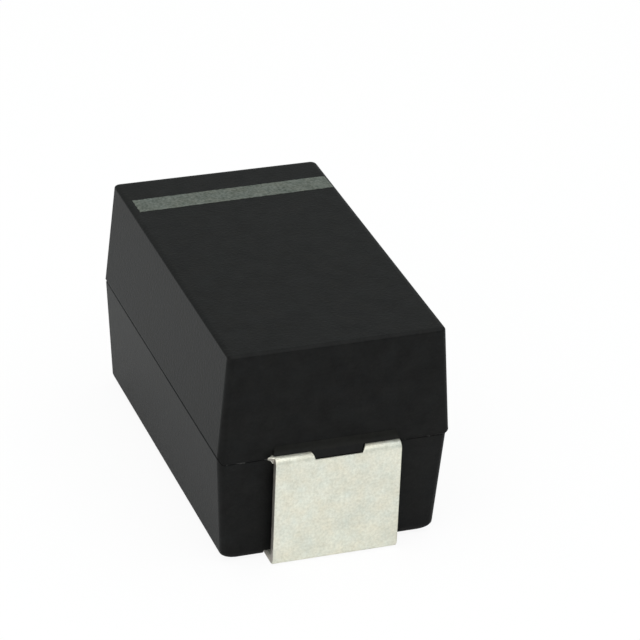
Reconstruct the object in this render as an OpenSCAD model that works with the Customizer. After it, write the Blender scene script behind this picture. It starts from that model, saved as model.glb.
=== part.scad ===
// Moulded surface-mount aluminium polymer capacitor, EIA case 7343-43.
// X is the width, Y the length with the cathode end at -Y, and Z is up from the board.
// A lead frame is cut into two strips. Coated foils are stacked on both faces of it, the
// whole is moulded into epoxy, and the strips are folded down the ends and under the case.

/* [Case] */
// Width of the case at the parting plane
case_width = 4.2; // [3.9:0.05:4.6]
// Length of the case at the parting plane
case_length = 6.95; // [6.6:0.05:7.2]
// Height of the top above the board
case_height = 4.08; // [3.8:0.02:4.4]
// Height of the parting plane, which runs through the lead frame's thickness
parting_height = 2.05; // [1.9:0.01:2.3]
// Height of the underside above the board, less than the strip's thickness
case_clearance = 0.07; // [0.03:0.01:0.1]
// Draft of the upper half's long sides in degrees
upper_side_draft = 4.2; // [1:0.1:6]
// Draft of the upper half's ends in degrees
upper_end_draft = 1.3; // [1:0.1:6]
// Draft of the lower half's long sides in degrees
lower_side_draft = 3.8; // [1:0.1:6]
// Draft of the lower half's ends in degrees
lower_end_draft = 2.5; // [1:0.1:6]
// Overhang of the upper half over the lower one at the parting plane
parting_step = 0.02; // [0.01:0.01:0.04]
// Sideways shift of the lower half, where the mould's halves don't quite meet
mould_shift = -0.015; // [-0.018:0.001:0.018]
// Radius of the case's upright edges
corner_radius = 0.12; // [0.1:0.01:0.25]
// Radius of the edges around its top and underside
edge_radius = 0.05; // [0.03:0.01:0.08]

/* [Terminals] */
// Width of the folded strip
terminal_width = 2.28; // [2:0.02:2.5]
// Thickness of the strip
lead_thickness = 0.15; // [0.1:0.01:0.2]
// Height of the strip's upper face above the parting plane
frame_rise = 0.07; // [0.05:0.01:0.1]
// Reach of each terminal beyond the case at the parting plane
terminal_reach = 0.22; // [0.2:0.01:0.35]
// Inside radius of both bends
bend_radius = 0.02; // [0.01:0.01:0.05]
// Outside radius of both bends, pressed sharper than the strip would bend freely
outer_bend = 0.13; // [0.1:0.01:0.2]
// Length of each foot, measured from the outside of the terminal
foot_length = 1.3; // [1:0.1:1.6]
// Width of the window at the upper bend
window_width = 1.02; // [0.8:0.02:1.3]
// Width of the window's lower edge
window_lower_width = 0.84; // [0.6:0.02:1]
// Depth of the window's lower edge below the strip's upper face
window_depth = 0.09; // [0.06:0.01:0.1]
// Height of the resin in the window above the strip's upper face, at the case's wall
resin_rise = 0.03; // [0.02:0.01:0.05]

/* [Polarity bar] */
// Width of the bar
bar_width = 0.48; // [0.3:0.02:0.7]
// Distance of the bar's middle from the case's middle
bar_position = 2.45; // [2:0.01:2.6]
// Turn of the bar from square in degrees
bar_skew = 1.1; // [-2:0.1:2]

/* [Stack] */
// Thinnest case wall around the stack
stack_wall = 0.45; // [0.35:0.05:0.6]
// Foils on each face of the lead frame
foils_per_face = 4; // [2:1:5]
// Thickness of a bare foil
foil_thickness = 0.1; // [0.06:0.01:0.12]
// Thickness of the adhesive under each coated foil
adhesive_thickness = 0.03; // [0.02:0.01:0.04]
// Length over which the tails lie flat at the weld
weld_length = 0.8; // [0.6:0.05:1]

/* [Hidden] */
// Land at the parting plane, play beside a foot, resin's distance inside the strip's outer face,
// depth of the bar's print and a margin for cuts
parting_land = 0.01;
resin_inset = 0.012;
foot_play = 0.06;
bar_depth = 0.02;
margin = 0.1;

// Case: the feet lie in recesses of its underside
underside = case_clearance;
upper_height = case_height - parting_height;
lower_height = parting_height - underside;
top_width = case_width - 2 * upper_height * tan(upper_side_draft);
flat_top_width = top_width - 2 * edge_radius;
lower_width = case_width - 2 * parting_step;
lower_length = case_length - 2 * parting_step;
bottom_length = lower_length - 2 * lower_height * tan(lower_end_draft);

// Strips: their upper face, the outside and inside of each terminal, and the window's ends
frame_top = parting_height + frame_rise;
frame_middle = frame_top - lead_thickness / 2;
terminal_face = case_length / 2 + terminal_reach;
inner_face = terminal_face - lead_thickness;
window_root = 0.2;
window_end = frame_top - window_depth;

// Stack: half its length, and the share of one coated foil in its height
stack_end = bottom_length / 2 - stack_wall;
room_above = case_height - stack_wall - frame_top;
room_below = frame_top - lead_thickness - underside - stack_wall;
pitch = min(room_above, room_below) / foils_per_face;
coat_thickness = (pitch - adhesive_thickness - foil_thickness) / 2;
coat_width = top_width - 2 * stack_wall;
foil_width = coat_width - 2 * coat_thickness;

// Tails: each slopes down to the weld and nests on the one below it
tail_slope = 45;
nest_shift = foil_thickness * tan(tail_slope / 2);
last_foil = foils_per_face - 1;
tail_clearance = 0.1;
pad_inset = 0.2;
coat_end = slope_start(last_foil) - tail_clearance;
cathode_pad_end = coat_end - pad_inset;
cathode_pad_width = coat_width - 2 * pad_inset;
anode_pad_end = slope_end(0) + tail_clearance;

function coated_level(k) = frame_top + k * pitch + adhesive_thickness + coat_thickness;
function weld_level(k) = frame_top + k * foil_thickness;
function slope_end(k) = stack_end - weld_length - (last_foil - k) * nest_shift;
function slope_start(k) = slope_end(k) - (coated_level(k) - weld_level(k)) / tan(tail_slope);

foil_count = 2 * foils_per_face;
foil_names = [for (i = [1:foil_count]) str("anode_foil_", i)];
coat_names = [for (i = [1:foil_count]) str("cathode_coat_", i)];

$fn = 64;

// Extrudes a lengthwise section (Y, Z) across the width
module across(width) {
    rotate([90, 0, 90])
        linear_extrude(width, center = true)
            children();
}

// Block centred across the width, from one Y and Z to another
module block(width, from, to) {
    translate([-width / 2, from[0], from[1]])
        cube([width, to[0] - from[0], to[1] - from[1]]);
}

// Mirrors what lies on the lead frame to its lower face
module on_face(lower) {
    if (lower)
        translate([0, 0, 2 * frame_middle])
            mirror([0, 0, 1])
                children();
    else
        children();
}

// Round puck with a rounded upper rim, as one corner of a half
module round_corner() {
    flat = corner_radius - edge_radius;
    rim = [for (turn = [0:11.25:90])
        [flat + edge_radius * cos(turn), edge_radius * sin(turn)]];
    rotate_extrude($fn = 32)
        polygon(concat(rim, [[0, edge_radius], [0, 0]]));
}

// One half of the case, drafted from its rim at Z = 0 up to a rounded face
module drafted_half(width, length, height, side_draft, end_draft) {
    rim = [width / 2 - corner_radius, length / 2 - corner_radius];
    draft = [side_draft, end_draft];
    head = [for (i = [0, 1])
        rim[i] + edge_radius - height * tan(draft[i])
            - edge_radius * (1 / cos(draft[i]) - tan(draft[i]))];
    hull()
        for (sx = [-1, 1], sy = [-1, 1]) {
            translate([sx * rim[0], sy * rim[1], 0])
                cylinder(r = corner_radius, h = parting_land, $fn = 32);
            translate([sx * head[0], sy * head[1], height - edge_radius])
                round_corner();
        }
}

module case_outside() {
    translate([0, 0, parting_height]) {
        drafted_half(case_width, case_length, upper_height, upper_side_draft, upper_end_draft);
        translate([mould_shift, 0, 0])
            mirror([0, 0, 1])
                drafted_half(lower_width, lower_length, lower_height, lower_side_draft, lower_end_draft);
    }
}

// Lengthwise section between two points (Y, Z), with both corners at its far end rounded
module rounded_end(from, to, radius) {
    size = to - from;
    translate(from) {
        square([size[0] - radius, size[1]]);
        translate([0, radius])
            square([size[0], size[1] - 2 * radius]);
        for (z = [radius, size[1] - radius])
            translate([size[0] - radius, z])
                circle(radius);
    }
}

// Folded section of a strip: from its pad out of the case, down its end and under it
module strip_section(pad_end) {
    thickness = [lead_thickness, lead_thickness];
    difference() {
        rounded_end([pad_end, 0], [terminal_face, frame_top], outer_bend);
        rounded_end([pad_end - margin, lead_thickness],
            [terminal_face, frame_top] - thickness, bend_radius);
        translate([pad_end - margin, -margin])
            square([terminal_face - foot_length - pad_end + margin, lead_thickness + 2 * margin]);
    }
}

// Window punched through the strip where it leaves the case and turns down
module window() {
    block(window_width, [case_length / 2 - window_root, frame_top - lead_thickness - bend_radius],
        [inner_face, frame_top + margin]);
    translate([0, terminal_face + margin, 0])
        rotate([90, 0, 0])
            linear_extrude(lead_thickness + 2 * margin)
                polygon([
                    [-window_width / 2, frame_top], [-window_lower_width / 2, window_end],
                    [window_lower_width / 2, window_end], [window_width / 2, frame_top],
                    [window_width / 2, frame_top + margin],
                    [-window_width / 2, frame_top + margin]]);
}

// Resin that fills the window, sloping from the wall down to the window's lower edge
module window_resin() {
    wall = case_length / 2;
    tip = terminal_face - resin_inset;
    slope = (resin_rise + window_depth) / (tip - wall);
    intersection() {
        window();
        across(window_width)
            polygon([
                [wall - margin, frame_top - lead_thickness],
                [wall - margin, frame_top + resin_rise + margin * slope], [tip, window_end],
                [inner_face, window_end], [inner_face, frame_top - lead_thickness]]);
    }
}

// One strip at the +Y end, with a pad inside the case that carries the stack
module strip(pad_width, pad_end) {
    difference() {
        across(terminal_width)
            strip_section(pad_end);
        window();
    }
    block(pad_width, [pad_end, frame_top - lead_thickness], [stack_end, frame_top]);
}

// Bent section of foil k, counted outwards from the lead frame
module foil_section(k) {
    start = slope_start(k);
    end = slope_end(k);
    level = coated_level(k);
    weld = weld_level(k);
    polygon([
        [-stack_end + coat_thickness, level], [start, level], [end, weld], [stack_end, weld],
        [stack_end, weld + foil_thickness], [end + nest_shift, weld + foil_thickness],
        [start + nest_shift, level + foil_thickness],
        [-stack_end + coat_thickness, level + foil_thickness]]);
}

// Foil i: the first ones lie above the lead frame, the rest below it
module foil(i) {
    on_face(i > foils_per_face)
        across(foil_width)
            foil_section((i - 1) % foils_per_face);
}

// Recess in the underside for the foot at the +Y end, which bears on its roof
module foot_recess() {
    block(terminal_width + 2 * foot_play, [terminal_face - foot_length - foot_play, 0],
        [terminal_face, lead_thickness]);
}

// Black moulded epoxy, filled around the stack and the strips
module moulded_case() {
    color([0.12, 0.12, 0.12])
        difference() {
            union() {
                case_outside();
                window_resin();
                mirror([0, 1, 0])
                    window_resin();
            }
            bar();
            cathode_strip();
            anode_strip();
            foot_recess();
            mirror([0, 1, 0])
                foot_recess();
            for (i = [1:foil_count])
                foil(i);
            for (lower = [false, true])
                on_face(lower)
                    block(coat_width, [-stack_end, frame_top],
                        [coat_end, frame_top + foils_per_face * pitch]);
        }
}

module bar() {
    translate([0, bar_position, case_height - bar_depth])
        rotate([0, 0, bar_skew])
            block(flat_top_width, [-bar_width / 2, 0], [bar_width / 2, bar_depth]);
}

// Grey mark at the anode end, level with the top
module polarity_bar() {
    color([0.4, 0.42, 0.39])
        bar();
}

module cathode_strip() {
    mirror([0, 1, 0])
        strip(cathode_pad_width, -cathode_pad_end);
}

module anode_strip() {
    strip(foil_width, anode_pad_end);
}

// Tinned strip at the near end, bonded under and over by the stack
module cathode_terminal() {
    color([0.86, 0.86, 0.81])
        cathode_strip();
}

// Tinned strip at the far end, with the foil tails welded to both its faces
module anode_terminal() {
    color([0.86, 0.86, 0.81])
        anode_strip();
}

// Films of silver-filled adhesive, one on the inner side of each coated foil
module silver_adhesive() {
    color([0.75, 0.75, 0.73])
        for (lower = [false, true], k = [0:last_foil])
            on_face(lower)
                block(coat_width, [-stack_end, frame_top + k * pitch],
                    [coat_end, frame_top + k * pitch + adhesive_thickness]);
}

// Etched aluminium foil with a bare tail
module anode_foil(i) {
    color([0.72, 0.73, 0.74])
        foil(i);
}

// Polymer, carbon and silver jacket around a foil
module cathode_coat(i) {
    k = (i - 1) % foils_per_face;
    color([0.3, 0.3, 0.31])
        difference() {
            on_face(i > foils_per_face)
                block(coat_width, [-stack_end, frame_top + k * pitch + adhesive_thickness],
                    [coat_end, frame_top + (k + 1) * pitch]);
            foil(i);
        }
}

moulded_case();
polarity_bar();
cathode_terminal();
anode_terminal();
silver_adhesive();
for (i = [1:foil_count]) {
    anode_foil(i);
    cathode_coat(i);
}
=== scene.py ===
import math

import bmesh
import bpy
from mathutils import Matrix, Vector


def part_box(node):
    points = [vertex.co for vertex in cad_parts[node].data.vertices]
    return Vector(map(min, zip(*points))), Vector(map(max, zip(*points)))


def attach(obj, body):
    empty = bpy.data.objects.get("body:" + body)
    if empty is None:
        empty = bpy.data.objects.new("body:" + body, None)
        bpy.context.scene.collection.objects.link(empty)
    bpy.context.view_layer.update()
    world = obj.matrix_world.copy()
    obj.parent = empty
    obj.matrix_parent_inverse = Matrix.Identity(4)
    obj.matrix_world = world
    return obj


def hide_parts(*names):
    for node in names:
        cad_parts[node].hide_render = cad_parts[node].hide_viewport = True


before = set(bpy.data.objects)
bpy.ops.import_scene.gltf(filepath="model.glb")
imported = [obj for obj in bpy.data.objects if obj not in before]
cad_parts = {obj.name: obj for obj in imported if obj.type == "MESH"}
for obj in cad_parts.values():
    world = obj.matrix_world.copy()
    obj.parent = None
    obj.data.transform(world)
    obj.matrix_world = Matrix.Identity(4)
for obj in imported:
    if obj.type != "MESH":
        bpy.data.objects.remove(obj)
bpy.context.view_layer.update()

# Anode foils: eight strips of etched aluminium with a dull, finely pitted face.
# Their bare tails are pressed together and welded to the anode strip inside the case.
mm = 0.001
noise_detail = 3.0
noise_roughness = 0.6
noise_middle = 0.5
hue_offset = (7.3, 1.9, 4.1)


def surface_grain_group():
    """Shader node group: fine grain, slow mottling and a drift of hue over a surface, 0 to 1."""
    group = bpy.data.node_groups.new("surface_grain", "ShaderNodeTree")
    for name in ("Grain scale", "Mottle scale", "Grain contrast", "Mottle contrast"):
        group.interface.new_socket(name, in_out="INPUT", socket_type="NodeSocketFloat")
    for name in ("Grain", "Mottle", "Hue"):
        group.interface.new_socket(name, in_out="OUTPUT", socket_type="NodeSocketFloat")
    nodes, links = group.nodes, group.links
    inputs = nodes.new("NodeGroupInput")
    outputs = nodes.new("NodeGroupOutput")
    place = nodes.new("ShaderNodeTexCoord")
    elsewhere = nodes.new("ShaderNodeMapping")
    elsewhere.inputs["Location"].default_value = hue_offset
    links.new(place.outputs["Object"], elsewhere.inputs["Vector"])
    for name, kind, spot in (("Grain", "Grain", place.outputs["Object"]),
                             ("Mottle", "Mottle", place.outputs["Object"]),
                             ("Hue", "Mottle", elsewhere.outputs["Vector"])):
        noise = nodes.new("ShaderNodeTexNoise")
        noise.inputs["Detail"].default_value = noise_detail
        noise.inputs["Roughness"].default_value = noise_roughness
        links.new(spot, noise.inputs["Vector"])
        links.new(inputs.outputs[kind + " scale"], noise.inputs["Scale"])
        centred = nodes.new("ShaderNodeMath")
        centred.operation = "SUBTRACT"
        centred.inputs[1].default_value = noise_middle
        links.new(noise.outputs["Fac"], centred.inputs[0])
        spread = nodes.new("ShaderNodeMath")
        spread.operation = "MULTIPLY_ADD"
        spread.use_clamp = True
        spread.inputs[2].default_value = noise_middle
        links.new(centred.outputs[0], spread.inputs[0])
        links.new(inputs.outputs[kind + " contrast"], spread.inputs[1])
        links.new(spread.outputs[0], outputs.inputs[name])
    return group


surface_grain = surface_grain_group()


def colour_mix(nodes, links, name, share, first, second, blend="MIX"):
    """Mixes two colours, each a fixed tone or the output of another node."""
    mix = nodes.new("ShaderNodeMix")
    mix.name = name
    mix.data_type = "RGBA"
    mix.blend_type = blend
    sockets = [socket for socket in mix.inputs if socket.type == "RGBA"]
    for socket, colour in zip(sockets, (first, second)):
        if isinstance(colour, tuple):
            socket.default_value = (*colour, 1.0)
        else:
            links.new(colour, socket)
    if isinstance(share, float):
        mix.inputs["Factor"].default_value = share
    else:
        links.new(share, mix.inputs["Factor"])
    return [socket for socket in mix.outputs if socket.type == "RGBA"][0]


def grained_material(name, dark, light, grain_size, mottle_size, roughness, relief,
                     metallic=0.0, specular=0.5, grain_contrast=2.0, mottle_contrast=2.0,
                     grain_share=0.5, hue_drift=0.01):
    """Procedural finish that runs between two tones, with its hue, roughness and relief in step."""
    material = bpy.data.materials.new(name)
    material.use_nodes = True
    nodes, links = material.node_tree.nodes, material.node_tree.links
    shader = nodes["Principled BSDF"]
    shader.inputs["Metallic"].default_value = metallic
    shader.inputs["Specular IOR Level"].default_value = specular
    grain = nodes.new("ShaderNodeGroup")
    grain.name = "grain"
    grain.node_tree = surface_grain
    grain.inputs["Grain scale"].default_value = 1.0 / grain_size
    grain.inputs["Mottle scale"].default_value = 1.0 / mottle_size
    grain.inputs["Grain contrast"].default_value = grain_contrast
    grain.inputs["Mottle contrast"].default_value = mottle_contrast
    blend = nodes.new("ShaderNodeMix")
    blend.name = "tone share"
    blend.inputs["Factor"].default_value = grain_share
    links.new(grain.outputs["Mottle"], blend.inputs["A"])
    links.new(grain.outputs["Grain"], blend.inputs["B"])
    tone = colour_mix(nodes, links, "tone", blend.outputs["Result"], dark, light)
    warm = (1.0 + hue_drift, 1.0, 1.0 - hue_drift)
    cold = (1.0 - hue_drift, 1.0, 1.0 + hue_drift)
    hue = colour_mix(nodes, links, "hue", grain.outputs["Hue"], warm, cold)
    links.new(colour_mix(nodes, links, "finish", 1.0, tone, hue, "MULTIPLY"),
              shader.inputs["Base Color"])
    polish = nodes.new("ShaderNodeMapRange")
    polish.inputs["To Min"].default_value = roughness[0]
    polish.inputs["To Max"].default_value = roughness[1]
    links.new(grain.outputs["Mottle"], polish.inputs["Value"])
    links.new(polish.outputs["Result"], shader.inputs["Roughness"])
    bump = nodes.new("ShaderNodeBump")
    bump.inputs["Strength"].default_value = 1.0
    bump.inputs["Distance"].default_value = relief
    links.new(grain.outputs["Grain"], bump.inputs["Height"])
    links.new(bump.outputs["Normal"], shader.inputs["Normal"])
    return material


def dress_node(node, material):
    """Gives a node that keeps its CAD shape its finish."""
    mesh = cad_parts[node].data
    mesh.materials.clear()
    mesh.materials.append(material)


etched_aluminium = grained_material(
    "etched_aluminium", (0.60, 0.61, 0.62), (0.76, 0.77, 0.78), grain_size=0.02 * mm,
    mottle_size=0.4 * mm, roughness=(0.45, 0.60), relief=0.002 * mm, metallic=1.0)
foils = sorted(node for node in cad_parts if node.startswith("anode_foil"))
for foil in foils:
    dress_node(foil, etched_aluminium)

# Cathode coats: the jacket of conductive polymer, carbon paste and silver paint that is
# dipped onto each foil. It dries dark grey and slightly uneven.
silver_painted_jacket = grained_material(
    "silver_painted_jacket", (0.20, 0.20, 0.21), (0.34, 0.34, 0.35), grain_size=0.03 * mm,
    mottle_size=0.5 * mm, roughness=(0.50, 0.70), relief=0.004 * mm, metallic=0.6)
coats = sorted(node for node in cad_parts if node.startswith("cathode_coat"))
for coat in coats:
    dress_node(coat, silver_painted_jacket)

# Silver adhesive: films of epoxy filled with silver flakes, one under each coated foil.
# They bond the stack together and to the cathode strip.
flake_adhesive = grained_material(
    "flake_adhesive", (0.52, 0.52, 0.50), (0.80, 0.80, 0.77), grain_size=0.015 * mm,
    mottle_size=0.2 * mm, roughness=(0.35, 0.55), relief=0.003 * mm, metallic=0.9)
dress_node("silver_adhesive", flake_adhesive)

# Moulded case: black filled epoxy, pressed around the stack in a two-part mould. The parting
# line runs level with the strips along the sides and dips at the ends, where the mould closes
# on them. Resin fills the strips' windows, and the feet lie in recesses of the underside.
case_low, case_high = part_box("moulded_case")
terminal_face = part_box("anode_terminal")[1].y
frame_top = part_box("anode_terminal")[1].z
strip_reach = 0.22 * mm
strip_rise = 0.07 * mm
exit_face = terminal_face - strip_reach
parting = frame_top - strip_rise
left_lift = 0.08 * mm
right_lift = 0.03 * mm
end_dip = 0.02 * mm
end_lip = 0.012 * mm
print_film = 0.003 * mm
corner_radius = 0.12 * mm
# Rounded edges: across at the sides, across at the ends, and high.
upper_edge = (0.11 * mm, 0.11 * mm, 0.05 * mm)
lower_edge = (0.17 * mm, 0.07 * mm, 0.14 * mm)
upper_corner = 0.01 * mm
lower_corner = 0.22 * mm
upper_rim = 0.040 * mm
lower_rim = 0.030 * mm
parting_step = 0.02 * mm
mould_shift = -0.015 * mm
upper_draft = (math.radians(4.2), math.radians(1.3))
lower_draft = (math.radians(3.8), math.radians(2.5))
recess_half = 1.20 * mm
recess_depth = 1.36 * mm
recess_overrun = 0.1 * mm
strip_thickness = 0.15 * mm
strip_half = 1.14 * mm
window_drop = 0.09 * mm
window_upper = (-0.486 * mm, 0.540 * mm)
window_lower = (-0.425 * mm, 0.424 * mm)
resin_gap = 0.012 * mm
lip_root = 0.1 * mm
# Hollow round of resin over each strip: reach from the wall, rise over the strip, taper at its edges.
lip_round = [(reach * mm, rise * mm, taper * mm) for reach, rise, taper in (
    (0.0, 0.15, 0.04), (0.015, 0.085, 0.025), (0.045, 0.040, 0.012), (0.085, 0.012, 0.0))]
quarter_turn = math.radians(90.0)
sharp_turn = math.radians(35.0)
corner_steps = 8
round_steps = 8
rim_steps = 4
flat_weight = 100
same_point = 0.0001 * mm


def case_resin(name, dark, light):
    """Filled epoxy of the case, whose silica grain shows as a faint mottle."""
    return grained_material(
        name, dark, light, grain_size=0.05 * mm, mottle_size=0.30 * mm, roughness=(0.48, 0.50),
        relief=0.0030 * mm, specular=0.11, mottle_contrast=2.3, grain_share=0.36, hue_drift=0.04)


black_epoxy = case_resin("black_epoxy", (0.0026, 0.0026, 0.0026), (0.0094, 0.0095, 0.0094))
# Resin of the lips over the strips: a thin film with a slight olive tint, whose tone is painted
# lighter than the case to lift the shade in the corner between the wall and the strip; the lift is
# painted light.
lip_resin_with_painted_light = case_resin("lip_resin_with_painted_light", (0.0040, 0.0040, 0.0036), (0.0122, 0.0121, 0.0107))


def rounded_ring(bm, middle_x, half_x, half_y, radius, height, sway):
    """Vertices of a rounded rectangle, whose sides lift and ends dip with the parting line."""
    ring = []
    for quarter, (side_x, side_y) in enumerate(((1, 1), (-1, 1), (-1, -1), (1, -1))):
        side_lift = right_lift if side_x > 0 else left_lift
        for step in range(corner_steps + 1):
            angle = quarter_turn * (quarter + step / corner_steps)
            ring.append(bm.verts.new((
                middle_x + side_x * (half_x - radius) + radius * math.cos(angle),
                side_y * (half_y - radius) + radius * math.sin(angle),
                height + sway * (side_lift * math.cos(angle) ** 2 - end_dip * math.sin(angle) ** 2))))
    return ring


def half_sections(half_x, half_y, height, draft, rim, lip, edge, last_corner):
    """Sections of one drafted half from its rim to its flat, as (x, y, corner radius, rise, sway)."""
    sections = []
    for step in range(rim_steps):
        turn = quarter_turn * step / rim_steps
        inset = rim * (1 - math.sin(turn))
        sections.append((half_x - inset, half_y - inset + lip, corner_radius - inset,
                         rim * (1 - math.cos(turn)), 1.0))
    wall = rim + 2 * lip
    sections.append((half_x - wall * math.tan(draft[0]), half_y - wall * math.tan(draft[1]),
                     corner_radius, wall, 1.0))
    edge_x, edge_y, edge_height = edge
    head_x = half_x - (height - edge_height) * math.tan(draft[0])
    head_y = half_y - (height - edge_height) * math.tan(draft[1])
    for step in range(round_steps + 1):
        turn = quarter_turn * step / round_steps
        inset = 1 - math.cos(turn)
        sections.append((head_x - edge_x * inset, head_y - edge_y * inset,
                         corner_radius + (last_corner - corner_radius) * inset,
                         height - edge_height * (1 - math.sin(turn)), 0.0))
    return sections


def moulded_case_mesh():
    """Both halves as one closed skin of rounded rings, from the underside to the top."""
    bm = bmesh.new()
    half_x = case_high.x
    upper = half_sections(half_x, exit_face, case_high.z - print_film - parting, upper_draft,
                          upper_rim, end_lip, upper_edge, upper_corner)
    lower = half_sections(half_x - parting_step, exit_face - parting_step, parting - case_low.z,
                          lower_draft, lower_rim, 0.0, lower_edge, lower_corner)
    rings = [rounded_ring(bm, mould_shift, x, y, radius, parting - rise, sway)
             for x, y, radius, rise, sway in reversed(lower)]
    rings += [rounded_ring(bm, 0.0, x, y, radius, parting + rise, sway)
              for x, y, radius, rise, sway in upper]
    for below, above in zip(rings, rings[1:]):
        for k in range(len(below)):
            follow = (k + 1) % len(below)
            bm.faces.new((below[k], below[follow], above[follow], above[k]))
    bm.faces.new(list(reversed(rings[0])))
    bm.faces.new(rings[-1])
    bmesh.ops.remove_doubles(bm, verts=bm.verts, dist=same_point)
    bmesh.ops.dissolve_degenerate(bm, edges=bm.edges, dist=same_point)
    bmesh.ops.recalc_face_normals(bm, faces=bm.faces)
    return bm


def shaping_block(name, end, profile, material):
    """Block for a boolean at one end, from a profile of (reach, height, left, right)."""
    bm = bmesh.new()
    left = [bm.verts.new((low, end * reach, height)) for reach, height, low, high in profile]
    right = [bm.verts.new((high, end * reach, height)) for reach, height, low, high in profile]
    bm.faces.new(left)
    bm.faces.new(right)
    for k in range(len(profile)):
        follow = (k + 1) % len(profile)
        bm.faces.new((left[k], left[follow], right[follow], right[k]))
    bmesh.ops.triangulate(bm, faces=bm.faces[:])
    bmesh.ops.recalc_face_normals(bm, faces=bm.faces)
    mesh = bpy.data.meshes.new(name)
    bm.to_mesh(mesh)
    bm.free()
    mesh.materials.append(material)
    block = bpy.data.objects.new(name, mesh)
    bpy.context.scene.collection.objects.link(block)
    return block


def foot_recess(end):
    """Room for the foot in the underside at one end."""
    inner = terminal_face - recess_depth
    outer = terminal_face + recess_overrun
    corners = ((inner, -strip_thickness), (outer, -strip_thickness), (outer, strip_thickness),
               (inner, strip_thickness))
    profile = [(*corner, -recess_half, recess_half) for corner in corners]
    return shaping_block("foot_recess", end, profile, black_epoxy)


def window_resin(end):
    """Resin in the window at one end, sloping on from the lip to the window's lower edge."""
    root = exit_face - lip_root
    tip = terminal_face - 2 * resin_gap
    reach, rise, _ = lip_round[-1]
    share = reach / (tip - exit_face)
    wide = (window_upper[0], window_upper[1] - resin_gap)
    narrow = (window_lower[0], window_lower[1] - resin_gap)
    between = [first + (last - first) * share for first, last in zip(wide, narrow)]
    return shaping_block("window_resin", end, [
        (root, frame_top - strip_thickness, *between), (root, frame_top + rise, *between),
        (exit_face + reach, frame_top + rise, *between),
        (tip, frame_top - window_drop + resin_gap, *narrow),
        (terminal_face - strip_thickness, frame_top - strip_thickness, *narrow)], black_epoxy)


def resin_lip(end):
    """Hollow round of resin from the wall to the strip, tapering off at the strip's edges."""
    root = exit_face - lip_root
    first_rise, first_taper = lip_round[0][1:]
    profile = [(root, first_rise, first_taper)]
    profile += [(exit_face + reach, rise, taper) for reach, rise, taper in lip_round]
    profile += [(exit_face + lip_round[-1][0], 0.0, 0.0), (root, 0.0, 0.0)]
    # The lip takes the resin whose lighter tone is painted light, lifting the corner's shade.
    return shaping_block("resin_lip", end, [
        (reach, frame_top + rise, taper - strip_half, strip_half - taper)
        for reach, rise, taper in profile], lip_resin_with_painted_light)


def apply_modifiers(piece):
    """Keeps what a piece's modifiers make of it as its plain mesh."""
    raw = piece.data
    made = bpy.data.meshes.new_from_object(
        piece.evaluated_get(bpy.context.evaluated_depsgraph_get()))
    piece.modifiers.clear()
    piece.data = made
    bpy.data.meshes.remove(raw)
    made.name = piece.name


def finished_piece(name, bm, materials, node, tools=()):
    """Turns a mesh into a smooth-shaded piece that stands for a CAD node."""
    mesh = bpy.data.meshes.new(name)
    bm.to_mesh(mesh)
    bm.free()
    for material in materials:
        mesh.materials.append(material)
    mesh.shade_smooth()
    piece = bpy.data.objects.new(name, mesh)
    bpy.context.scene.collection.objects.link(piece)
    for tool, operation in tools:
        cut = piece.modifiers.new("cut", "BOOLEAN")
        cut.operation = operation
        cut.solver = "EXACT"
        cut.material_mode = "TRANSFER"
        cut.object = tool
    apply_modifiers(piece)
    piece.data.set_sharp_from_angle(angle=sharp_turn)
    normals = piece.modifiers.new("flat faces stay flat", "WEIGHTED_NORMAL")
    normals.weight = flat_weight
    normals.keep_sharp = True
    apply_modifiers(piece)
    for tool, _ in tools:
        bpy.data.meshes.remove(tool.data)
    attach(piece, "root")
    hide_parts(node)


case_tools = []
for end in (-1, 1):
    case_tools += [(foot_recess(end), "DIFFERENCE"), (window_resin(end), "UNION"),
                   (resin_lip(end), "UNION")]
finished_piece("case", moulded_case_mesh(), [black_epoxy], "moulded_case", case_tools)

# Flash: a thin, ragged bead of resin that squeezed out of the mould's parting line at both
# ends, beside the strips, and was left on.
flash_length = 0.80 * mm
flash_middle = 1.56 * mm
flash_bead = (0.004 * mm, 0.034 * mm)
flash_depth = 0.012 * mm
flash_rise = 0.012 * mm
flash_scale = 9.0 / mm
flash_detail = 2.0
flash_swell = (0.49, 0.72)
flash_points = 80
flash_sides = 8
flash_seed = 5.0


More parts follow.
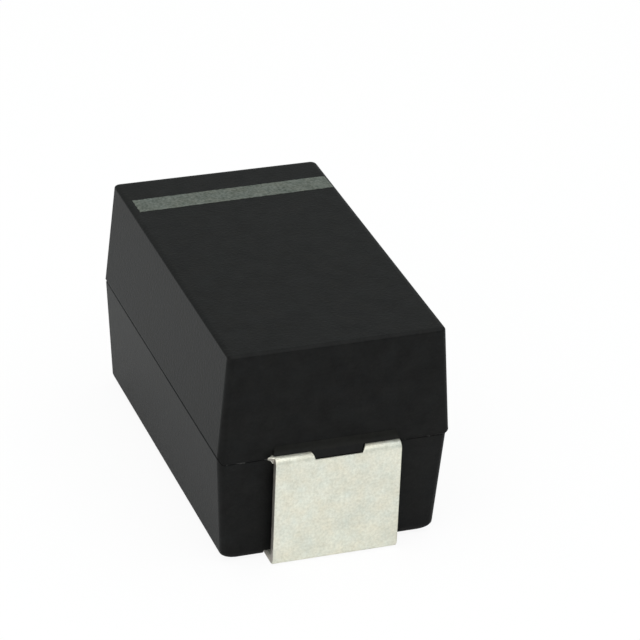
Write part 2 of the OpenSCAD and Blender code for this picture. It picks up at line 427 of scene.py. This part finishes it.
def parting_flash_tree():
    """Geometry node tree: a bead of uneven radius along each of four runs of the parting line."""
    tree = bpy.data.node_groups.new("parting_flash", "GeometryNodeTree")
    for name in ("Run", "Spacing X", "Spacing Y", "Level", "Thin", "Thick", "Ragged scale", "Seed"):
        tree.interface.new_socket(name, in_out="INPUT", socket_type="NodeSocketFloat")
    tree.interface.new_socket("Resin", in_out="INPUT", socket_type="NodeSocketMaterial")
    tree.interface.new_socket("Geometry", in_out="OUTPUT", socket_type="NodeSocketGeometry")
    nodes, links = tree.nodes, tree.links
    given = nodes.new("NodeGroupInput").outputs

    run = nodes.new("GeometryNodeCurvePrimitiveLine")
    run.mode = "DIRECTION"
    run.inputs["Direction"].default_value = (1.0, 0.0, 0.0)
    links.new(given["Run"], run.inputs["Length"])
    fine = nodes.new("GeometryNodeResampleCurve")
    fine.inputs["Count"].default_value = flash_points
    links.new(run.outputs["Curve"], fine.inputs["Curve"])
    half = nodes.new("ShaderNodeMath")
    half.operation = "MULTIPLY"
    half.inputs[1].default_value = -0.5
    links.new(given["Run"], half.inputs[0])
    start = nodes.new("ShaderNodeCombineXYZ")
    links.new(half.outputs[0], start.inputs["X"])
    links.new(given["Level"], start.inputs["Z"])
    centred = nodes.new("GeometryNodeTransform")
    links.new(fine.outputs["Curve"], centred.inputs["Geometry"])
    links.new(start.outputs[0], centred.inputs["Translation"])
    spots = nodes.new("GeometryNodeMeshGrid")
    spots.inputs["Vertices X"].default_value = 2
    spots.inputs["Vertices Y"].default_value = 2
    links.new(given["Spacing X"], spots.inputs["Size X"])
    links.new(given["Spacing Y"], spots.inputs["Size Y"])
    placed = nodes.new("GeometryNodeInstanceOnPoints")
    links.new(spots.outputs["Mesh"], placed.inputs["Points"])
    links.new(centred.outputs["Geometry"], placed.inputs["Instance"])
    runs = nodes.new("GeometryNodeRealizeInstances")
    links.new(placed.outputs["Instances"], runs.inputs["Geometry"])

    noise = nodes.new("ShaderNodeTexNoise")
    noise.noise_dimensions = "4D"
    noise.inputs["Detail"].default_value = flash_detail
    links.new(given["Ragged scale"], noise.inputs["Scale"])
    links.new(given["Seed"], noise.inputs["W"])
    swell = nodes.new("ShaderNodeMapRange")
    swell.inputs["From Min"].default_value = flash_swell[0]
    swell.inputs["From Max"].default_value = flash_swell[1]
    links.new(noise.outputs["Fac"], swell.inputs["Value"])
    links.new(given["Thin"], swell.inputs["To Min"])
    links.new(given["Thick"], swell.inputs["To Max"])
    ring = nodes.new("GeometryNodeCurvePrimitiveCircle")
    ring.inputs["Resolution"].default_value = flash_sides
    ring.inputs["Radius"].default_value = 1.0
    bead = nodes.new("GeometryNodeCurveToMesh")
    bead.inputs["Fill Caps"].default_value = True
    links.new(runs.outputs["Geometry"], bead.inputs["Curve"])
    links.new(ring.outputs["Curve"], bead.inputs["Profile Curve"])
    links.new(swell.outputs["Result"], bead.inputs["Scale"])
    real = nodes.new("GeometryNodeRealizeInstances")
    links.new(bead.outputs["Mesh"], real.inputs["Geometry"])
    made = nodes.new("GeometryNodeSetMaterial")
    links.new(real.outputs["Geometry"], made.inputs["Geometry"])
    links.new(given["Resin"], made.inputs["Material"])
    links.new(made.outputs["Geometry"], nodes.new("NodeGroupOutput").inputs["Geometry"])
    return tree


def made_by_nodes(name, tree, values):
    """Runs a geometry node tree once and keeps its result as a plain mesh."""
    piece = bpy.data.objects.new(name, bpy.data.meshes.new(name))
    bpy.context.scene.collection.objects.link(piece)
    maker = piece.modifiers.new(tree.name, "NODES")
    maker.node_group = tree
    for socket in tree.interface.items_tree:
        if socket.in_out == "INPUT":
            maker[socket.identifier] = values[socket.name]
    apply_modifiers(piece)
    return piece


resin_flash = grained_material(
    "resin_flash", (0.010, 0.010, 0.010), (0.034, 0.034, 0.032), grain_size=0.03 * mm,
    mottle_size=0.12 * mm, roughness=(0.45, 0.60), relief=0.002 * mm, specular=0.3)
flash_piece = made_by_nodes("flash", parting_flash_tree(), {
    "Run": flash_length, "Spacing X": 2 * flash_middle, "Spacing Y": 2 * (exit_face - flash_depth),
    "Level": parting - end_dip + flash_rise, "Thin": flash_bead[0], "Thick": flash_bead[1],
    "Ragged scale": flash_scale, "Seed": flash_seed, "Resin": resin_flash})
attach(flash_piece, "root")

# Polarity bar: a thin grey film of ink stamped across the top at the anode end, a little
# askew. Its edges are ragged, and its right end runs over the rounded edge of the case.
bar_low, bar_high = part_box("polarity_bar")
bar_turn = math.radians(1.1)
bar_width = 0.48 * mm
bar_ends = (-1.815 * mm, 1.905 * mm)
bar_middle = (bar_low.y + bar_high.y) / 2
bar_points = (300, 40)
film_sink = 0.001 * mm
film_merge = 0.0002 * mm
ragged = 0.012 * mm
ragged_scale = 14.0 / mm
ragged_spread = 4.0
edge_start = case_high.z - print_film - upper_edge[2]
flat_end = case_high.x - (edge_start - parting) * math.tan(upper_draft[0]) - upper_edge[0]


def stamped_film_tree():
    """Geometry node tree: a grid with ragged edges, laid over the top and its rounding."""
    tree = bpy.data.node_groups.new("stamped_film", "GeometryNodeTree")
    for name in ("Length", "Width", "Middle X", "Middle Y", "Turn", "Level", "Thickness",
                 "Raggedness", "Ragged scale", "Flat end", "Edge width", "Edge height"):
        tree.interface.new_socket(name, in_out="INPUT", socket_type="NodeSocketFloat")
    tree.interface.new_socket("Ink", in_out="INPUT", socket_type="NodeSocketMaterial")
    tree.interface.new_socket("Geometry", in_out="OUTPUT", socket_type="NodeSocketGeometry")
    nodes, links = tree.nodes, tree.links
    given = nodes.new("NodeGroupInput").outputs

    def math_node(operation, first, second=None):
        node = nodes.new("ShaderNodeMath")
        node.operation = operation
        for socket, value in zip(node.inputs, (first, second)):
            if isinstance(value, float):
                socket.default_value = value
            elif value is not None:
                links.new(value, socket)
        return node.outputs[0]

    def vector_of(x, y, z):
        node = nodes.new("ShaderNodeCombineXYZ")
        for socket, value in zip(node.inputs, (x, y, z)):
            if isinstance(value, float):
                socket.default_value = value
            else:
                links.new(value, socket)
        return node.outputs[0]

    grid = nodes.new("GeometryNodeMeshGrid")
    grid.inputs["Vertices X"].default_value = bar_points[0]
    grid.inputs["Vertices Y"].default_value = bar_points[1]
    links.new(given["Length"], grid.inputs["Size X"])
    links.new(given["Width"], grid.inputs["Size Y"])

    noise = nodes.new("ShaderNodeTexNoise")
    noise.inputs["Detail"].default_value = noise_detail
    links.new(given["Ragged scale"], noise.inputs["Scale"])
    wander = nodes.new("ShaderNodeVectorMath")
    wander.operation = "SUBTRACT"
    wander.inputs[1].default_value = (noise_middle, noise_middle, noise_middle)
    links.new(noise.outputs["Color"], wander.inputs[0])
    stretch = nodes.new("ShaderNodeVectorMath")
    stretch.operation = "SCALE"
    links.new(wander.outputs[0], stretch.inputs[0])
    links.new(math_node("MULTIPLY", given["Raggedness"], ragged_spread), stretch.inputs["Scale"])
    flat = nodes.new("ShaderNodeVectorMath")
    flat.operation = "MULTIPLY"
    flat.inputs[1].default_value = (1.0, 1.0, 0.0)
    links.new(stretch.outputs[0], flat.inputs[0])
    edge_faces = nodes.new("GeometryNodeInputMeshEdgeNeighbors").outputs["Face Count"]
    ragged_grid = nodes.new("GeometryNodeSetPosition")
    links.new(grid.outputs["Mesh"], ragged_grid.inputs["Geometry"])
    links.new(math_node("LESS_THAN", edge_faces, 2.0), ragged_grid.inputs["Selection"])
    links.new(flat.outputs[0], ragged_grid.inputs["Offset"])

    turned = nodes.new("GeometryNodeTransform")
    links.new(ragged_grid.outputs["Geometry"], turned.inputs["Geometry"])
    links.new(vector_of(given["Middle X"], given["Middle Y"], given["Level"]),
              turned.inputs["Translation"])
    links.new(vector_of(0.0, 0.0, given["Turn"]), turned.inputs["Rotation"])

    position = nodes.new("ShaderNodeSeparateXYZ")
    links.new(nodes.new("GeometryNodeInputPosition").outputs[0], position.inputs[0])
    past = math_node("MAXIMUM", math_node("SUBTRACT", position.outputs["X"], given["Flat end"]), 0.0)
    share = math_node("DIVIDE", past, given["Edge width"])
    left = math_node("SQRT", math_node("SUBTRACT", 1.0, math_node("MULTIPLY", share, share)))
    drop = math_node("MULTIPLY", math_node("SUBTRACT", left, 1.0), given["Edge height"])
    laid = nodes.new("GeometryNodeSetPosition")
    links.new(turned.outputs["Geometry"], laid.inputs["Geometry"])
    links.new(vector_of(0.0, 0.0, drop), laid.inputs["Offset"])

    film = nodes.new("GeometryNodeExtrudeMesh")
    film.inputs["Individual"].default_value = False
    links.new(laid.outputs["Geometry"], film.inputs["Mesh"])
    links.new(vector_of(0.0, 0.0, 1.0), film.inputs["Offset"])
    links.new(given["Thickness"], film.inputs["Offset Scale"])
    under = nodes.new("GeometryNodeFlipFaces")
    links.new(laid.outputs["Geometry"], under.inputs["Mesh"])
    closed = nodes.new("GeometryNodeJoinGeometry")
    links.new(film.outputs["Mesh"], closed.inputs["Geometry"])
    links.new(under.outputs["Mesh"], closed.inputs["Geometry"])
    merged = nodes.new("GeometryNodeMergeByDistance")
    merged.inputs["Distance"].default_value = film_merge
    links.new(closed.outputs["Geometry"], merged.inputs["Geometry"])
    real = nodes.new("GeometryNodeRealizeInstances")
    links.new(merged.outputs["Geometry"], real.inputs["Geometry"])
    inked = nodes.new("GeometryNodeSetMaterial")
    links.new(real.outputs["Geometry"], inked.inputs["Geometry"])
    links.new(given["Ink"], inked.inputs["Material"])
    links.new(inked.outputs["Geometry"], nodes.new("NodeGroupOutput").inputs["Geometry"])
    return tree


grey_ink = grained_material(
    "grey_ink", (0.040, 0.050, 0.039), (0.166, 0.180, 0.160), grain_size=0.055 * mm,
    mottle_size=0.25 * mm, roughness=(0.60, 0.75), relief=0.003 * mm, specular=0.2,
    grain_contrast=2.4, grain_share=0.7, hue_drift=0.03)
bar_piece = made_by_nodes("bar", stamped_film_tree(), {
    "Length": bar_ends[1] - bar_ends[0], "Width": bar_width,
    "Middle X": (bar_ends[0] + bar_ends[1]) / 2, "Middle Y": bar_middle, "Turn": bar_turn,
    "Level": case_high.z - print_film - film_sink, "Thickness": print_film + film_sink,
    "Raggedness": ragged, "Ragged scale": ragged_scale, "Flat end": flat_end,
    "Edge width": upper_edge[0], "Edge height": upper_edge[2], "Ink": grey_ink})
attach(bar_piece, "root")
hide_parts("polarity_bar")

# Terminals: one strip of tinned copper alloy at each end. It is punched flat with a window
# and a pad, leaves the case at the parting plane, and is folded down the end and under it.
# The small stub at its left edge is left of a tie bar that was trimmed off.
outer_bend = 0.13 * mm
inner_bend = 0.02 * mm
bend_steps = 10
bend_ease = 0.12 * mm
bend_length = outer_bend * quarter_turn
leg_length = frame_top - 2 * outer_bend
foot_length = 1.3 * mm
window_root = 0.2 * mm
stub_reach = 0.11 * mm
stub_length = 0.13 * mm
stub_peak = 0.7
stub_thinning = 0.4
sheared_edge = 0.016 * mm
sheared_steps = 3
sheared_profile = 0.5
corner_rise = 0.5
side_rise = 0.2
strip_merge = 0.0002 * mm
stack_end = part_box("anode_foil_1")[1].y


def bend_start(face):
    """Length along the strip at which its upper bend starts."""
    return face - outer_bend


def strip_outline(pad_half, pad_start, face):
    """Outline of the flat strip as (across, along): pad, neck, trimmed stub and the long tail."""
    length = bend_start(face) + 2 * bend_length + leg_length + foot_length - outer_bend
    right = [(pad_half, pad_start), (pad_half, stack_end), (strip_half, stack_end),
             (strip_half, length)]
    left = [(-strip_half, length), (-strip_half, exit_face + stub_length),
            (-strip_half - stub_reach, exit_face + stub_peak * stub_length),
            (-strip_half, exit_face), (-strip_half, stack_end), (-pad_half, stack_end),
            (-pad_half, pad_start)]
    return right + left


def window_outline(face):
    """Outline of the punched window, which narrows across the upper bend."""
    last = bend_start(face) + outer_bend * math.acos(1 - window_drop / outer_bend)
    return [(window_upper[1], exit_face - window_root), (window_upper[1], exit_face),
            (window_lower[1], last), (window_lower[0], last),
            (window_upper[0], exit_face), (window_upper[0], exit_face - window_root)]


def fold(along, depth, face):
    """Place (reach, height) of a point of the strip after both bends are pressed."""
    radius = outer_bend + (inner_bend - outer_bend) * depth / strip_thickness
    corner = depth + radius
    along -= bend_start(face)
    if along <= 0:
        ease = max(0.0, 1 + along / bend_ease)
        return bend_start(face) + along - (corner - outer_bend) * ease, frame_top - depth
    if along <= bend_length:
        angle = along / outer_bend
        return face - corner + radius * math.sin(angle), frame_top - corner + radius * math.cos(angle)
    along -= bend_length
    if along <= leg_length:
        share = along / leg_length
        return face - depth, (frame_top - corner) * (1 - share) + corner * share
    along -= leg_length
    if along <= bend_length:
        angle = along / outer_bend
        return face - corner + radius * math.cos(angle), corner - radius * math.sin(angle)
    along -= bend_length
    ease = max(0.0, 1 - along / bend_ease)
    return bend_start(face) - along - (corner - outer_bend) * ease, depth


def folded_strip_mesh(node, end):
    """The punched, sheared and folded strip at the end that lies towards end times Y."""
    low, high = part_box(node)
    face = max(abs(low.y), abs(high.y))
    pad_start = end * (low.y if end > 0 else high.y)
    bm = bmesh.new()
    edges = []
    for outline in (strip_outline(high.x, pad_start, face), window_outline(face)):
        loop = [bm.verts.new((x, s, 0.0)) for x, s in outline]
        edges += [bm.edges.new(pair) for pair in zip(loop, loop[1:] + loop[:1])]
    bmesh.ops.triangle_fill(bm, use_beauty=True, edges=edges)
    flat = bm.faces[:]
    for side in flat:
        if side.normal.z < 0:
            side.normal_flip()
    grown = bmesh.ops.extrude_face_region(bm, geom=flat, use_keep_orig=True)
    for item in grown["geom"]:
        if isinstance(item, bmesh.types.BMVert):
            item.co.z = -strip_thickness
    bmesh.ops.recalc_face_normals(bm, faces=bm.faces)
    bm.normal_update()
    corners = [edge for edge in bm.edges if len(edge.link_faces) == 2
               and abs(edge.link_faces[0].normal.z - edge.link_faces[1].normal.z) > corner_rise]
    bmesh.ops.bevel(bm, geom=corners, offset=sheared_edge, offset_type="OFFSET",
                    segments=sheared_steps, profile=sheared_profile, affect="EDGES")
    upper = bend_start(face)
    lower = upper + bend_length + leg_length
    for start in (upper, lower):
        cuts = [start + bend_length * step / bend_steps for step in range(bend_steps + 1)]
        cuts += [start - bend_ease, start + bend_length + bend_ease]
        for place in cuts:
            bmesh.ops.bisect_plane(
                bm, geom=bm.verts[:] + bm.edges[:] + bm.faces[:], dist=same_point,
                plane_co=(0.0, place, 0.0), plane_no=(0.0, 1.0, 0.0))
    bm.normal_update()
    for side in bm.faces:
        side.material_index = 1 if abs(side.normal.z) < side_rise else 0
    for vertex in bm.verts:
        depth = -vertex.co.z
        if vertex.co.x < -strip_half - sheared_edge and vertex.co.y > exit_face:
            depth *= stub_thinning
        reach, height = fold(vertex.co.y, depth, face)
        vertex.co = (vertex.co.x, end * reach, height)
    bmesh.ops.remove_doubles(bm, verts=bm.verts, dist=strip_merge)
    bmesh.ops.recalc_face_normals(bm, faces=bm.faces)
    return bm


matte_tin = grained_material(
    "matte_tin", (0.675, 0.666, 0.570), (0.941, 0.932, 0.836), grain_size=0.05 * mm,
    mottle_size=0.35 * mm, roughness=(0.52, 0.58), relief=0.003 * mm, metallic=1.0,
    grain_contrast=2.6, mottle_contrast=2.3, grain_share=0.56, hue_drift=0.03)
sheared_alloy = grained_material(
    "sheared_alloy", (0.38, 0.35, 0.31), (0.60, 0.57, 0.52), grain_size=0.03 * mm,
    mottle_size=0.15 * mm, roughness=(0.45, 0.60), relief=0.004 * mm, metallic=1.0)
for strip, terminal, end in (("cathode_strip", "cathode_terminal", -1),
                             ("anode_strip", "anode_terminal", 1)):
    finished_piece(strip, folded_strip_mesh(terminal, end), [matte_tin, sheared_alloy],
                   terminal)

# Studio: a plain white table, seen as white by the camera and clear from below, a soft lamp
# overhead and one at the upper left, and a dim grey room.
floor_reach = 3000.0 * mm
floor_level = -0.004 * mm
paper_white = (0.93, 0.93, 0.93, 1.0)
white_to_camera = 0.92
white_to_metal = 0.25
room_grey = (0.94, 1.0, 0.98, 1.0)
room_level = 0.55
lit_point = (0.0, 0.0, 2.0 * mm)
floor_mesh = bpy.data.meshes.new("table")
floor_corners = ((-1, -1), (1, -1), (1, 1), (-1, 1))
floor_mesh.from_pydata([(x * floor_reach, y * floor_reach, floor_level) for x, y in floor_corners],
                       [], [(0, 1, 2, 3)])
table = bpy.data.objects.new("table", floor_mesh)
bpy.context.scene.collection.objects.link(table)
white_table = bpy.data.materials.new("white_table")
white_table.use_nodes = True
nodes, links = white_table.node_tree.nodes, white_table.node_tree.links
nodes.remove(nodes["Principled BSDF"])
paper = nodes.new("ShaderNodeBsdfDiffuse")
paper.inputs["Color"].default_value = paper_white
glow = nodes.new("ShaderNodeEmission")
glow.inputs["Strength"].default_value = 1.0
rays = nodes.new("ShaderNodeLightPath")
reflected = nodes.new("ShaderNodeMath")
reflected.operation = "MAXIMUM"
links.new(rays.outputs["Is Glossy Ray"], reflected.inputs[0])
links.new(rays.outputs["Is Transmission Ray"], reflected.inputs[1])
reflected_share = nodes.new("ShaderNodeMath")
reflected_share.operation = "MULTIPLY"
reflected_share.inputs[1].default_value = white_to_metal
links.new(reflected.outputs[0], reflected_share.inputs[0])
share = nodes.new("ShaderNodeMath")
share.operation = "MULTIPLY_ADD"
share.inputs[1].default_value = white_to_camera
links.new(rays.outputs["Is Camera Ray"], share.inputs[0])
links.new(reflected_share.outputs[0], share.inputs[2])
mixed = nodes.new("ShaderNodeMixShader")
links.new(share.outputs[0], mixed.inputs["Fac"])
links.new(paper.outputs["BSDF"], mixed.inputs[1])
links.new(glow.outputs["Emission"], mixed.inputs[2])
seen_from = nodes.new("ShaderNodeNewGeometry")
clear = nodes.new("ShaderNodeBsdfTransparent")
one_sided = nodes.new("ShaderNodeMixShader")
links.new(seen_from.outputs["Backfacing"], one_sided.inputs["Fac"])
links.new(mixed.outputs["Shader"], one_sided.inputs[1])
links.new(clear.outputs["BSDF"], one_sided.inputs[2])
links.new(one_sided.outputs["Shader"], nodes["Material Output"].inputs["Surface"])
floor_mesh.materials.append(white_table)

world = bpy.data.worlds.new("room")
world.use_nodes = True
room = world.node_tree.nodes["Background"]
room.inputs["Color"].default_value = room_grey
room.inputs["Strength"].default_value = room_level
bpy.context.scene.world = world


def soft_lamp(name, place, size, level):
    """Square area lamp facing the part, whose face is as bright as level times white."""
    lamp = bpy.data.lights.new(name, "AREA")
    lamp.shape = "RECTANGLE"
    lamp.size = size
    lamp.size_y = size
    lamp.energy = level * math.pi * size * size
    holder = bpy.data.objects.new(name, lamp)
    bpy.context.scene.collection.objects.link(holder)
    facing = (Vector(lit_point) - Vector(place)).to_track_quat("-Z", "Y")
    holder.matrix_world = Matrix.Translation(place) @ facing.to_matrix().to_4x4()


soft_lamp("top_softbox", place=(0.0, -10 * mm, 80 * mm), size=100 * mm, level=1.5)
soft_lamp("left_softbox", place=(-70 * mm, -50 * mm, 50 * mm), size=80 * mm, level=1.0)

# Camera: stands to the left of the cathode end and looks down at it, slightly rolled, as the
# photograph was taken.
azimuth = math.radians(-20.4533)
elevation = math.radians(28.2083)
roll = math.radians(2.4122)
distance = 61.3429 * mm
aside = (0.8824 * mm, 0.5755 * mm)
aim = Vector((0.0, 0.0, 2.09 * mm))
sensor_width = 36.0
focal_length = 192.695
clip_range = (1 * mm, 10000 * mm)
back = Vector((math.sin(azimuth) * math.cos(elevation), -math.cos(azimuth) * math.cos(elevation),
               math.sin(elevation)))
level_right = Vector((0.0, 0.0, 1.0)).cross(back).normalized()
level_up = back.cross(level_right)
right = math.cos(roll) * level_right + math.sin(roll) * level_up
up = math.cos(roll) * level_up - math.sin(roll) * level_right
eye = aim + distance * back + aside[0] * right + aside[1] * up
lens = bpy.data.cameras.new("camera")
lens.sensor_width = sensor_width
lens.lens = focal_length
lens.clip_start, lens.clip_end = clip_range
camera = bpy.data.objects.new("camera", lens)
bpy.context.scene.collection.objects.link(camera)
camera.matrix_world = Matrix.Translation(eye) @ Matrix((right, up, back)).transposed().to_4x4()
bpy.context.scene.camera = camera
bpy.context.scene.view_settings.view_transform = "Standard"
